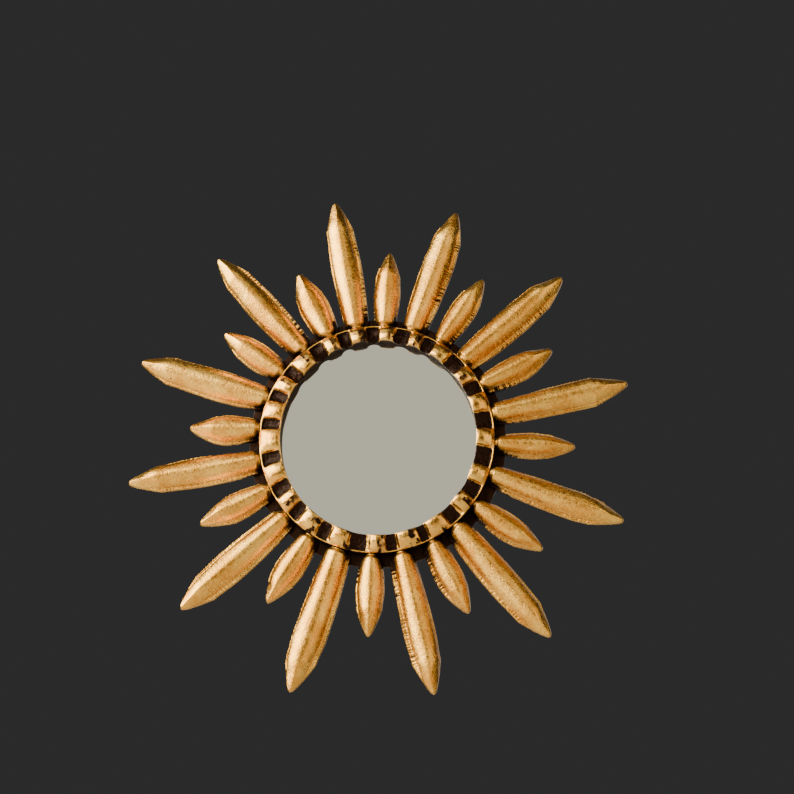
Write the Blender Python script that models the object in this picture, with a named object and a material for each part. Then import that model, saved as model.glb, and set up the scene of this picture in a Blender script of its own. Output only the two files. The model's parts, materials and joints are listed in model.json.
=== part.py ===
"""Wall mirror: a round glass in a gouged, gilded ring with a sunburst of carved rays.

The back lies in the plane y = 0, against the wall, and the front faces -Y. The origin is the
centre of the back. Lengths are in metres. Across the face, an angle runs from +X towards +Z,
and a depth is a distance from the wall towards the viewer.
"""

import math
from dataclasses import dataclass

import bmesh
import bpy
from mathutils import Vector

# Gap kept between pieces that are glued or seated together
JOINT_GAP = 0.0003

# Mirror glass
GLASS_RADIUS = 0.0728
GLASS_THICKNESS = 0.003
GLASS_SIDES = 64

# Carved ring around the glass. Its wall is the wood outside the rabbet that holds the glass
RING_WALL = 0.0099
RING_CROWN_DEPTH = 0.022
RING_LIP_OVER_GLASS = 0.0028
GLASS_BEHIND_CROWN = 0.0115
RING_FACE_FALL = 0.0056
OPENING_SHIFT = 0.0011
OPENING_OVAL = 0.0010
PAD_CROWN = 0.0011
GOUGE_DEPTH = 0.0044

# Stained wooden backing
FLANGE_THICKNESS = 0.0047
FLANGE_MARGIN = 0.008
BACKING_EDGE_BEVEL = 0.0008
BACKING_SIDES = 64

# Hanging recess in the back, whose flat top rests on a nail or screw
HANG_SEAT_HEIGHT = 0.058
HANG_RECESS_WIDTH = 0.014
HANG_RECESS_HEIGHT = 0.011
HANG_RECESS_FLOOR = 0.0021

# Rays
LONG_RAY_LENGTH = 0.0985
LONG_RAY_WIDTH = 0.0230
LONG_TIP_LENGTH = 0.0225
LONG_ROOT_SHARE = 0.78
SHORT_RAY_LENGTH = 0.0560
SHORT_RAY_WIDTH = 0.0202
SHORT_TIP_LENGTH = 0.0185
SHORT_ROOT_SHARE = 0.70
RAY_HEIGHT = 0.0125
RAY_LEDGE_HEIGHT = 0.0032
RAY_ROOT_HEIGHT = 0.0104
RAY_ROOT_EASE = 0.0036
RAY_TIP_HEIGHT = 0.0042
RAY_TIP_BLUNTNESS = 0.0008
TIP_CURVE = 0.74
BODY_ROUNDNESS = 2.2

# The first long ray's direction, in degrees. The others follow it clockwise
FIRST_LONG_ANGLE = 101.3

MILLIMETRE = 0.001
FULL_TURN = 360.0


@dataclass(frozen=True)
class RayCut:
    """How one hand-carved ray departs from the others of its kind."""

    turn: float  # degrees off the even spacing, counter-clockwise
    longer: float  # millimetres added to the length
    wider: float  # millimetres added to the width
    left_ledge: float  # millimetres, the low shelf on the counter-clockwise side
    right_ledge: float  # millimetres, the low shelf on the clockwise side
    swell: float  # share of the length at which the ray is widest
    root_shift: float  # millimetres that the root is off the middle, counter-clockwise
    tip_shift: float  # millimetres that the tip is off the middle, counter-clockwise


@dataclass(frozen=True)
class RayKind:
    """The sizes that the rays of one kind share."""

    length: float
    width: float
    tip_length: float
    root_share: float  # width at the root, as a share of the greatest width
    body_stations: int


@dataclass(frozen=True)
class Gouge:
    """One scoop cut across the ring's face."""

    angle: float  # degrees
    width: float  # degrees
    through: float  # how far it opens the inner lip, from 0 for a closed pocket to 1


LONG_CUTS = (
    RayCut(-1.6, 2.4, -0.8, 0.8, 3.0, 0.52, 0.0, 0.0),
    RayCut(0.0, -0.2, 0.2, 0.8, 3.2, 0.58, 1.2, 0.2),
    RayCut(0.6, -2.0, 0.0, 0.8, 3.4, 0.50, 0.8, 0.2),
    RayCut(1.1, 0.6, -1.4, 0.8, 1.8, 0.74, -0.4, 0.4),
    RayCut(-1.0, 0.3, -1.6, 1.0, 2.0, 0.66, 2.2, 0.9),
    RayCut(-1.2, 2.6, 0.0, 0.8, 2.6, 0.50, 0.6, 0.0),
    RayCut(0.7, 2.2, -0.7, 0.9, 3.2, 0.58, -1.2, 0.6),
    RayCut(0.2, 5.4, 1.2, 3.0, 1.0, 0.62, 0.0, -0.6),
    RayCut(-0.2, -0.8, 0.8, 3.0, 2.4, 0.55, -0.6, 0.0),
    RayCut(-1.7, -3.4, -1.2, 2.2, 0.9, 0.46, 0.4, -0.9),
    RayCut(-1.5, -1.2, 0.2, 1.8, 1.2, 0.40, -2.6, 1.2),
    RayCut(-1.9, -0.5, -0.2, 1.0, 3.0, 0.48, -2.2, 1.6),
)
SHORT_CUTS = (
    RayCut(0.0, 2.6, -0.8, 0.8, 1.2, 0.45, 0.0, -0.2),
    RayCut(0.9, 3.0, -1.2, 0.8, 2.2, 0.55, 0.4, 0.4),
    RayCut(1.0, 1.8, -0.2, 0.8, 2.4, 0.55, 0.2, 0.6),
    RayCut(0.9, 0.6, -1.0, 1.6, 1.2, 0.46, 0.0, 0.2),
    RayCut(-1.6, 0.8, -0.6, 1.4, 0.9, 0.50, 0.4, 1.0),
    RayCut(0.5, 0.0, 0.0, 0.8, 2.2, 0.50, 0.0, 0.4),
    RayCut(1.0, 0.5, 0.0, 1.2, 1.4, 0.45, 0.0, 0.2),
    RayCut(0.0, -1.0, 0.2, 2.2, 0.8, 0.50, 0.0, 0.3),
    RayCut(-0.9, -1.6, 0.3, 2.2, 0.9, 0.55, 0.0, 0.0),
    RayCut(-0.9, -5.2, 2.2, 1.8, 1.4, 0.50, -2.6, -0.4),
    RayCut(-3.0, -2.0, 0.6, 0.9, 1.8, 0.45, 0.0, 0.2),
    RayCut(-1.9, -0.8, 2.2, 0.8, 2.6, 0.50, -0.6, 0.0),
)
LONG_KIND = RayKind(LONG_RAY_LENGTH, LONG_RAY_WIDTH, LONG_TIP_LENGTH, LONG_ROOT_SHARE, 5)
SHORT_KIND = RayKind(SHORT_RAY_LENGTH, SHORT_RAY_WIDTH, SHORT_TIP_LENGTH, SHORT_ROOT_SHARE, 3)

# The scoops are cut by eye, so neither their spacing nor their width is even. Those at the top
# run out through the inner lip, those at the left and the bottom stop short of it
GOUGES = (
    Gouge(8.5, 11.0, 0.4),
    Gouge(27.0, 8.5, 0.5),
    Gouge(44.0, 11.0, 0.7),
    Gouge(61.5, 7.5, 0.8),
    Gouge(76.0, 9.0, 0.9),
    Gouge(92.0, 8.0, 1.0),
    Gouge(107.5, 7.5, 1.0),
    Gouge(123.0, 8.8, 0.9),
    Gouge(141.5, 7.5, 0.4),
    Gouge(156.3, 7.5, 0.0),
    Gouge(172.0, 7.0, 0.0),
    Gouge(191.0, 8.5, 0.0),
    Gouge(208.5, 8.5, 0.0),
    Gouge(224.0, 7.6, 0.0),
    Gouge(242.0, 8.5, 0.0),
    Gouge(261.0, 11.5, 0.1),
    Gouge(278.0, 7.0, 0.1),
    Gouge(295.0, 6.0, 0.2),
    Gouge(313.0, 9.5, 0.3),
    Gouge(330.0, 9.0, 0.4),
    Gouge(348.5, 12.0, 0.4),
)

# Sizes that follow from the ones above
SEAT_DEPTH = FLANGE_THICKNESS + JOINT_GAP
RING_BORE_RADIUS = GLASS_RADIUS - RING_LIP_OVER_GLASS
RABBET_RADIUS = GLASS_RADIUS + JOINT_GAP
RING_OUTER_RADIUS = RABBET_RADIUS + RING_WALL
RABBET_DEPTH = RING_CROWN_DEPTH - GLASS_BEHIND_CROWN
GLASS_FRONT_DEPTH = RABBET_DEPTH - JOINT_GAP
PLATEAU_DEPTH = GLASS_FRONT_DEPTH - GLASS_THICKNESS - JOINT_GAP
PLATEAU_RADIUS = GLASS_RADIUS - JOINT_GAP
FLANGE_RADIUS = RING_OUTER_RADIUS + FLANGE_MARGIN
RAY_ROOT_RADIUS = RING_OUTER_RADIUS + JOINT_GAP
RAY_PITCH = FULL_TURN / len(LONG_CUTS)
FIRST_SHORT_ANGLE = FIRST_LONG_ANGLE - RAY_PITCH / 2
HANG_RECESS_DEPTH = PLATEAU_DEPTH - HANG_RECESS_FLOOR


def clear_scene():
    """Remove whatever objects the open file holds."""
    for old in list(bpy.data.objects):
        bpy.data.objects.remove(old, do_unlink=True)


def make_material(name, colour, roughness, metallic):
    """A Principled material with one colour, roughness and metallic value."""
    material = bpy.data.materials.new(name)
    material.use_nodes = True
    shader = material.node_tree.nodes["Principled BSDF"]
    shader.inputs["Base Color"].default_value = (*colour, 1.0)
    shader.inputs["Roughness"].default_value = roughness
    shader.inputs["Metallic"].default_value = metallic
    material.diffuse_color = (*colour, 1.0)
    return material


def add_object(name, bm, material, parent):
    """Turn a bmesh into a named, smooth-shaded object with sharp edges kept."""
    mesh = bpy.data.meshes.new(name)
    bm.to_mesh(mesh)
    bm.free()
    mesh.materials.append(material)
    mesh.shade_smooth()
    mesh.set_sharp_from_angle(angle=math.radians(35.0))
    placed = bpy.data.objects.new(name, mesh)
    bpy.context.collection.objects.link(placed)
    placed.parent = parent
    return placed


def skin_sections(bm, sections, closed_along):
    """Skin a row of closed sections, each a list of the same number of points."""
    rows = [[bm.verts.new(point) for point in section] for section in sections]
    around = len(rows[0])
    last = len(rows) if closed_along else len(rows) - 1
    for row in range(last):
        here, there = rows[row], rows[(row + 1) % len(rows)]
        for i in range(around):
            j = (i + 1) % around
            bm.faces.new((here[i], here[j], there[j], there[i]))
    if not closed_along:
        bm.faces.new(rows[0])
        bm.faces.new(rows[-1])
    bmesh.ops.recalc_face_normals(bm, faces=bm.faces)


def smooth_step(value):
    """Ease from 0 to 1 as value goes from 0 to 1, flat outside."""
    clamped = min(max(value, 0.0), 1.0)
    return clamped * clamped * (3.0 - 2.0 * clamped)


def ray_half_width(kind, cut, length, width, along):
    """Half the ray's width at a distance along from its root."""
    swell_at = cut.swell * length
    shoulder = length - kind.tip_length
    rise = math.sin(0.5 * math.pi * min(along / swell_at, 1.0))
    fall = 1.0 - 0.10 * smooth_step((along - swell_at) / max(shoulder - swell_at, MILLIMETRE))
    half = 0.5 * width * (kind.root_share + (1.0 - kind.root_share) * rise) * fall
    half *= 0.84 + 0.16 * smooth_step(along / RAY_ROOT_EASE)
    if along > shoulder:
        left = max(length - along, 0.0) / kind.tip_length
        blunt = RAY_TIP_BLUNTNESS
        half = blunt + (half - blunt) * left**TIP_CURVE
    return half


def ray_height(kind, length, along):
    """The ray's greatest height above its flat back at a distance along from its root."""
    rise = smooth_step(along / RAY_ROOT_EASE)
    height = RAY_ROOT_HEIGHT + (RAY_HEIGHT - RAY_ROOT_HEIGHT) * rise
    shoulder = length - kind.tip_length
    if along > shoulder:
        passed = (along - shoulder) / kind.tip_length
        height -= (RAY_HEIGHT - RAY_TIP_HEIGHT) * passed**1.7
    return height


def ray_section(kind, cut, length, width, along):
    """One cross-section: flat back, a low ledge on each side, a half-round body between."""
    half = ray_half_width(kind, cut, length, width, along)
    height = ray_height(kind, length, along)
    past_shoulder = (along - (length - kind.tip_length)) / kind.tip_length
    ledge_left = 1.0 - smooth_step(past_shoulder * 1.5)
    narrowest = 0.12 * half
    left_shelf = max(cut.left_ledge * MILLIMETRE * ledge_left, narrowest)
    right_shelf = max(cut.right_ledge * MILLIMETRE * ledge_left, narrowest)
    ledge = min(RAY_LEDGE_HEIGHT, 0.6 * height)
    along_share = along / length
    middle = cut.root_shift * MILLIMETRE * (1.0 - along_share) ** 2
    middle += cut.tip_shift * MILLIMETRE * along_share**4
    low, high = -half + right_shelf, half - left_shelf
    centre, reach = 0.5 * (low + high), 0.5 * (high - low)
    profile = [(-half, 0.0), (-half, ledge)]
    for share in (-1.0, -0.78, -0.42, 0.0, 0.42, 0.78, 1.0):
        round_off = (1.0 - abs(share) ** BODY_ROUNDNESS) ** (1.0 / BODY_ROUNDNESS)
        crease = 0.1 * ledge
        profile.append((centre + share * reach, ledge + crease + (height - ledge - crease) * round_off))
    profile += [(half, ledge), (half, 0.0)]
    return [Vector((RAY_ROOT_RADIUS + along, -up, middle + across)) for across, up in profile]


def ray_stations(kind, length):
    """Distances along the ray at which a section is set."""
    shoulder = length - kind.tip_length
    body = shoulder - RAY_ROOT_EASE
    stations = [0.0]
    for step in range(kind.body_stations):
        stations.append(RAY_ROOT_EASE + body * step / kind.body_stations)
    stations += [shoulder + kind.tip_length * share for share in (0.0, 0.36, 0.68, 0.9, 1.0)]
    return stations


def make_ray(name, kind, cut, angle, material, parent):
    """Carve one ray along local +X and turn it to its direction on the ring."""
    length = kind.length + cut.longer * MILLIMETRE
    width = kind.width + cut.wider * MILLIMETRE
    sections = [ray_section(kind, cut, length, width, along) for along in ray_stations(kind, length)]
    bm = bmesh.new()
    skin_sections(bm, sections, closed_along=False)
    ray = add_object(name, bm, material, parent)
    ray.location = (0.0, -SEAT_DEPTH, 0.0)
    ray.rotation_euler = (0.0, -math.radians(angle + cut.turn), 0.0)
    return ray


def turn_between(first, second):
    """Degrees from the first angle on to the second, counter-clockwise."""
    return (second - first) % FULL_TURN


def ring_samples():
    """Tuples of (angle, pad sag, gouge share, through share) once around the ring.

    The pad sag is 0 on a pad's middle and 1 at its edges, and the gouge share is 0 on a pad and
    1 along the middle of a scoop.
    """
    samples = []
    for here, there in zip(GOUGES, GOUGES[1:] + GOUGES[:1]):
        half = 0.5 * here.width
        for share in (-1.0, -0.5, 0.0, 0.5, 1.0):
            gouge = (1.0 - share * share) ** 0.6
            samples.append((here.angle + share * half, 1.0, gouge, here.through))
        pad = turn_between(here.angle, there.angle) - half - 0.5 * there.width
        for share in (0.28, 0.72):
            across = 2.0 * share - 1.0
            angle = here.angle + half + share * pad
            samples.append((angle, across * across, 0.0, here.through))
    return samples


def opening_radius(angle):
    """Radius of the slightly oval and off-centre opening in front of the glass."""
    turn = math.radians(angle)
    return RING_BORE_RADIUS + OPENING_SHIFT * math.cos(turn) - OPENING_OVAL * math.cos(2.0 * turn)


def ring_section(angle, pad_sag, gouge, through):
    """The ring's closed section at one angle, in its own plane."""
    bore = opening_radius(angle)
    face = RING_OUTER_RADIUS - bore
    # Share of the face's width, of its fall, of a closed scoop's depth and of a through scoop's
    front = (
        (1.0, 1.0, 0.05, 0.05),
        (0.94, 0.80, 0.30, 0.30),
        (0.84, 0.55, 0.80, 0.80),
        (0.68, 0.29, 1.0, 1.0),
        (0.40, 0.04, 1.0, 1.15),
        (0.17, 0.0, 0.70, 1.45),
        (0.05, 0.06, 0.30, 1.65),
        (0.0, 0.24, 0.12, 1.60),
    )
    profile = [(RING_OUTER_RADIUS, SEAT_DEPTH)]
    for share, fall_share, closed, opened in front:
        cut = closed + (opened - closed) * through
        sag = PAD_CROWN * pad_sag * min(1.0, 0.4 + cut)
        depth = RING_CROWN_DEPTH - fall_share * RING_FACE_FALL - sag - GOUGE_DEPTH * gouge * cut
        profile.append((bore + share * face, depth))
    profile.append((bore, RABBET_DEPTH))
    profile.append((RABBET_RADIUS, RABBET_DEPTH))
    profile.append((RABBET_RADIUS, SEAT_DEPTH))
    turn = math.radians(angle)
    return [Vector((r * math.cos(turn), -depth, r * math.sin(turn))) for r, depth in profile]


def make_ring(material, parent):
    """Carve the ring as one band with a scoop at every gouge and a rabbet for the glass."""
    bm = bmesh.new()
    sections = [ring_section(*sample) for sample in ring_samples()]
    skin_sections(bm, sections, closed_along=True)
    return add_object("frame_ring", bm, material, parent)


def make_glass(material, parent):
    """Cut the glass disc."""
    bm = bmesh.new()
    bmesh.ops.create_cone(
        bm,
        cap_ends=True,
        segments=GLASS_SIDES,
        radius1=GLASS_RADIUS,
        radius2=GLASS_RADIUS,
        depth=GLASS_THICKNESS,
    )
    glass = add_object("mirror_glass", bm, material, parent)
    glass.rotation_euler = (math.radians(90.0), 0.0, 0.0)
    glass.location = (0.0, -(GLASS_FRONT_DEPTH - 0.5 * GLASS_THICKNESS), 0.0)
    return glass


def make_hang_cutter(parent):
    """The block that cuts the hanging recess into the back."""
    bm = bmesh.new()
    bmesh.ops.create_cube(bm, size=1.0)
    past_back = FLANGE_THICKNESS
    deep = HANG_RECESS_DEPTH + past_back
    bmesh.ops.scale(bm, vec=(HANG_RECESS_WIDTH, deep, HANG_RECESS_HEIGHT), verts=bm.verts)
    cutter_mesh = bpy.data.meshes.new("hang_recess_cutter")
    bm.to_mesh(cutter_mesh)
    bm.free()
    cutter = bpy.data.objects.new("hang_recess_cutter", cutter_mesh)
    bpy.context.collection.objects.link(cutter)
    cutter.parent = parent
    cutter.location = (
        0.0,
        past_back - 0.5 * deep,
        HANG_SEAT_HEIGHT - 0.5 * HANG_RECESS_HEIGHT,
    )
    cutter.hide_render = True
    cutter.display_type = "WIRE"
    return cutter


def make_backing(material, parent):
    """Turn the backing disc, with a raised middle under the glass, and cut its recess."""
    bevel = BACKING_EDGE_BEVEL
    profile = (
        (FLANGE_RADIUS - bevel, 0.0),
        (FLANGE_RADIUS, bevel),
        (FLANGE_RADIUS, FLANGE_THICKNESS - bevel),
        (FLANGE_RADIUS - bevel, FLANGE_THICKNESS),
        (PLATEAU_RADIUS, FLANGE_THICKNESS),
        (PLATEAU_RADIUS, PLATEAU_DEPTH),
    )
    sections = []
    for radius, depth in profile:
        turns = [2.0 * math.pi * i / BACKING_SIDES for i in range(BACKING_SIDES)]
        sections.append([Vector((radius * math.cos(t), -depth, radius * math.sin(t))) for t in turns])
    bm = bmesh.new()
    skin_sections(bm, sections, closed_along=False)
    backing = add_object("backing_disc", bm, material, parent)
    cut = backing.modifiers.new("hang_recess", "BOOLEAN")
    cut.operation = "DIFFERENCE"
    cut.solver = "EXACT"
    cut.object = make_hang_cutter(parent)
    return backing


def main():
    """Build every piece of the mirror under one empty at the centre of the back."""
    clear_scene()
    centre = bpy.data.objects.new("mirror_centre", None)
    bpy.context.collection.objects.link(centre)

    ring_gilding = make_material("gilded_ring", (0.72, 0.50, 0.23), 0.36, 0.9)
    ray_gilding = make_material("gilded_ray", (0.74, 0.53, 0.26), 0.40, 0.9)
    silvering = make_material("silvered_glass", (0.80, 0.81, 0.79), 0.03, 1.0)
    stained_wood = make_material("stained_wood", (0.055, 0.030, 0.020), 0.55, 0.0)

    make_ring(ring_gilding, centre)
    make_glass(silvering, centre)
    make_backing(stained_wood, centre)
    kinds = (
        ("long_ray", LONG_KIND, LONG_CUTS, FIRST_LONG_ANGLE),
        ("short_ray", SHORT_KIND, SHORT_CUTS, FIRST_SHORT_ANGLE),
    )
    for kind_name, kind, cuts, first_angle in kinds:
        for number, cut in enumerate(cuts):
            name = f"{kind_name}_{number + 1:02d}"
            angle = first_angle - RAY_PITCH * number
            make_ray(name, kind, cut, angle, ray_gilding, centre)
    bpy.context.view_layer.update()


main()
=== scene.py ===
"""Dress the sunburst wall mirror: carved, gilded rays and ring, silvered glass and stained backing.

The back lies in the plane y = 0 and the front faces -Y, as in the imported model. Lengths are in
metres. Across the face, an angle runs from +X towards +Z, and a depth is a distance from the wall
towards the viewer.
"""

import json
import logging
import math
from dataclasses import dataclass
from enum import Enum

import bmesh
import bpy
import numpy as np
from mathutils import Euler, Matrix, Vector

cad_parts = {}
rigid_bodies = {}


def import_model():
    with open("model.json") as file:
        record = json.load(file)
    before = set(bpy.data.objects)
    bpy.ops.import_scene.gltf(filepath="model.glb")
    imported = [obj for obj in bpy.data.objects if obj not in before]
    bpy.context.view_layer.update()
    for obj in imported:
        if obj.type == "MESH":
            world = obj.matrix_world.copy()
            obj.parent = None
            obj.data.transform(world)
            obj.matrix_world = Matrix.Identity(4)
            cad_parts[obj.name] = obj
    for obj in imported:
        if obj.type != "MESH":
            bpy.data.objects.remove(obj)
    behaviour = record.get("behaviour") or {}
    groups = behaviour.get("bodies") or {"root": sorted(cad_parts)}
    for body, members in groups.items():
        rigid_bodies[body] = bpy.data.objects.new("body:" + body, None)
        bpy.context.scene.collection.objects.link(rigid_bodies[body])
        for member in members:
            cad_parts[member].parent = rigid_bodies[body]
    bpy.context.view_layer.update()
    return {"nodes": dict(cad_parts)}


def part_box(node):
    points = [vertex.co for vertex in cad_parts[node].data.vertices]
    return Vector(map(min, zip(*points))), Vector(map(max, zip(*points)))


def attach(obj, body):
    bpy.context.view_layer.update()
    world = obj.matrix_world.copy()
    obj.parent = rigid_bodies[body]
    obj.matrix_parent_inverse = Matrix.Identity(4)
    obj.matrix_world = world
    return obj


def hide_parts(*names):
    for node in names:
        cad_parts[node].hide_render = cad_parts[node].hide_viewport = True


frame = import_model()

log = logging.getLogger("wall_mirror")

Colour = tuple[float, float, float]
Feed = bpy.types.NodeSocket | float | int | tuple | str | None

BODY = "root"
MILLIMETRE = 0.001

# Fits that the pieces share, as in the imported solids
JOINT_GAP = 0.0003
FLANGE_THICKNESS = 0.0047
SEAT_DEPTH = FLANGE_THICKNESS + JOINT_GAP
GLASS_RADIUS = 0.0728
RING_OUTER_RADIUS = 0.0830
RAY_ROOT_RADIUS = RING_OUTER_RADIUS + JOINT_GAP


class Slot(Enum):
    """The record's material slots."""

    RING = "gilded_ring"
    RAY = "gilded_ray"
    GLASS = "silvered_glass"
    WOOD = "stained_wood"


class Layer(Enum):
    """Names of the point attributes that the meshes and the finishes share."""

    GRAIN = "grain"  # place on the piece, for patterns that follow it
    PATINA = "patina"  # share of dark patina, from 0 on clean leaf to 1; on the ring it also holds painted shade on the pads, and painted highlights where patina is taken off
    WEAR = "wear"  # the patina that the form asks for; on the ring, also less of it on the top of the inner wall at the left and right, and a painted highlight: less on the inner lip towards the right
    ALONG = "along"  # distance from a ray's root
    RIM = "rim"  # nearness to a ray's outer edge, negative on its clockwise side
    NICK = "nick"  # depth of the nicks along that edge
    FRONT = "front"  # 1 on carved faces, 0 on the flat back
    CUT = "cut"  # how deep a scoop bites here, as a share
    OPEN = "open"  # the same for a scoop that runs out through the inner edge
    HALF = "half_width"  # half of a scoop's width, in radians
    THROUGH = "through"  # how far a scoop runs out through the inner edge, from 0 to 1


def smooth_step(value: np.ndarray | float) -> np.ndarray:
    """Ease from 0 to 1 as value goes from 0 to 1, flat outside."""
    clamped = np.clip(value, 0.0, 1.0)
    return clamped * clamped * (3.0 - 2.0 * clamped)


class Wiring:
    """Adds nodes to one tree and joins them, so that the tree reads like a formula."""

    def __init__(self, tree: bpy.types.NodeTree) -> None:
        """Keep the tree to work on."""
        self.tree = tree

    def feed(self, socket: bpy.types.NodeSocket, value: Feed) -> None:
        """Join a socket to another one, or set its value.

        Args:
            socket: the input to fill.
            value: an output socket, a plain value, or None to leave the input alone.
        """
        if isinstance(value, bpy.types.NodeSocket):
            self.tree.links.new(value, socket)
        elif value is not None:
            socket.default_value = value

    def add(
        self, kind: str, settings: dict[str, object] | None = None, inputs: dict | None = None
    ) -> bpy.types.Node:
        """Add one node.

        Args:
            kind: the node's Blender type name.
            settings: values of the node's own properties.
            inputs: what feeds its inputs, by socket name or number.

        Returns:
            The new node.
        """
        node = self.tree.nodes.new(kind)
        for name, value in (settings or {}).items():
            setattr(node, name, value)
        for key, value in (inputs or {}).items():
            self.feed(node.inputs[key], value)
        return node

    def math(
        self, operation: str, first: Feed, second: Feed = None, clamp: bool = False
    ) -> bpy.types.NodeSocket:
        """One step of arithmetic.

        Args:
            operation: Blender's name of the step.
            first: the first value.
            second: the second value, where the step takes one.
            clamp: whether the result is held between 0 and 1.

        Returns:
            The result's socket.
        """
        settings = {"operation": operation, "use_clamp": clamp}
        return self.add("ShaderNodeMath", settings, {0: first, 1: second}).outputs[0]

    def vector(self, operation: str, first: Feed, second: Feed = None) -> bpy.types.NodeSocket:
        """One step of vector arithmetic, whose result is a vector."""
        inputs = {0: first, "Scale" if operation == "SCALE" else 1: second}
        return self.add("ShaderNodeVectorMath", {"operation": operation}, inputs).outputs["Vector"]

    def parts(self, vector: Feed) -> tuple[bpy.types.NodeSocket, ...]:
        """The three parts of a vector."""
        return tuple(self.add("ShaderNodeSeparateXYZ", None, {0: vector}).outputs)

    def join(self, x: Feed = 0.0, y: Feed = 0.0, z: Feed = 0.0) -> bpy.types.NodeSocket:
        """A vector from its three parts."""
        return self.add("ShaderNodeCombineXYZ", None, {0: x, 1: y, 2: z}).outputs[0]

    def ease(
        self, value: Feed, low: float, high: float, start: float = 0.0, end: float = 1.0
    ) -> bpy.types.NodeSocket:
        """Ease smoothly from start to end as value goes from low to high.

        Args:
            value: what is watched.
            low: where the easing starts.
            high: where it ends.
            start: the result at and below low.
            end: the result at and above high.

        Returns:
            The result's socket.
        """
        settings = {"interpolation_type": "SMOOTHSTEP"}
        inputs = {0: value, 1: low, 2: high, 3: start, 4: end}
        return self.add("ShaderNodeMapRange", settings, inputs).outputs[0]

    def noise(
        self, place: Feed, scale: float, detail: float = 2.0, seed: Feed = 0.0
    ) -> bpy.types.NodeSocket:
        """Soft noise around 0.5.

        Args:
            place: where it is read.
            scale: waves in a metre.
            detail: how many finer layers are added.
            seed: picks one noise out of many.

        Returns:
            The noise's value.
        """
        settings = {"noise_dimensions": "4D"}
        inputs = {"Vector": place, "W": seed, "Scale": scale, "Detail": detail}
        return self.add("ShaderNodeTexNoise", settings, inputs).outputs["Fac"]

    def blend(self, share: Feed, first: Feed, second: Feed) -> bpy.types.NodeSocket:
        """A colour between two others, the second one where share is 1."""
        inputs = {0: share, 6: opaque(first), 7: opaque(second)}
        return self.add("ShaderNodeMix", {"data_type": "RGBA"}, inputs).outputs[2]


def opaque(colour: Feed) -> Feed:
    """A plain colour with its alpha, or a socket as it is."""
    return (*colour, 1.0) if isinstance(colour, tuple) and len(colour) == 3 else colour


@dataclass(frozen=True)
class Finish:
    """What every finish has: a name and the shader that its recipe ends in."""

    name: str

    def start(self) -> tuple[bpy.types.Material, Wiring, bpy.types.Node]:
        """A new material, the wiring of its tree and its Principled shader."""
        material = bpy.data.materials.new(self.name)
        material.use_nodes = True
        shader = material.node_tree.nodes["Principled BSDF"]
        return material, Wiring(material.node_tree), shader


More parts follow.
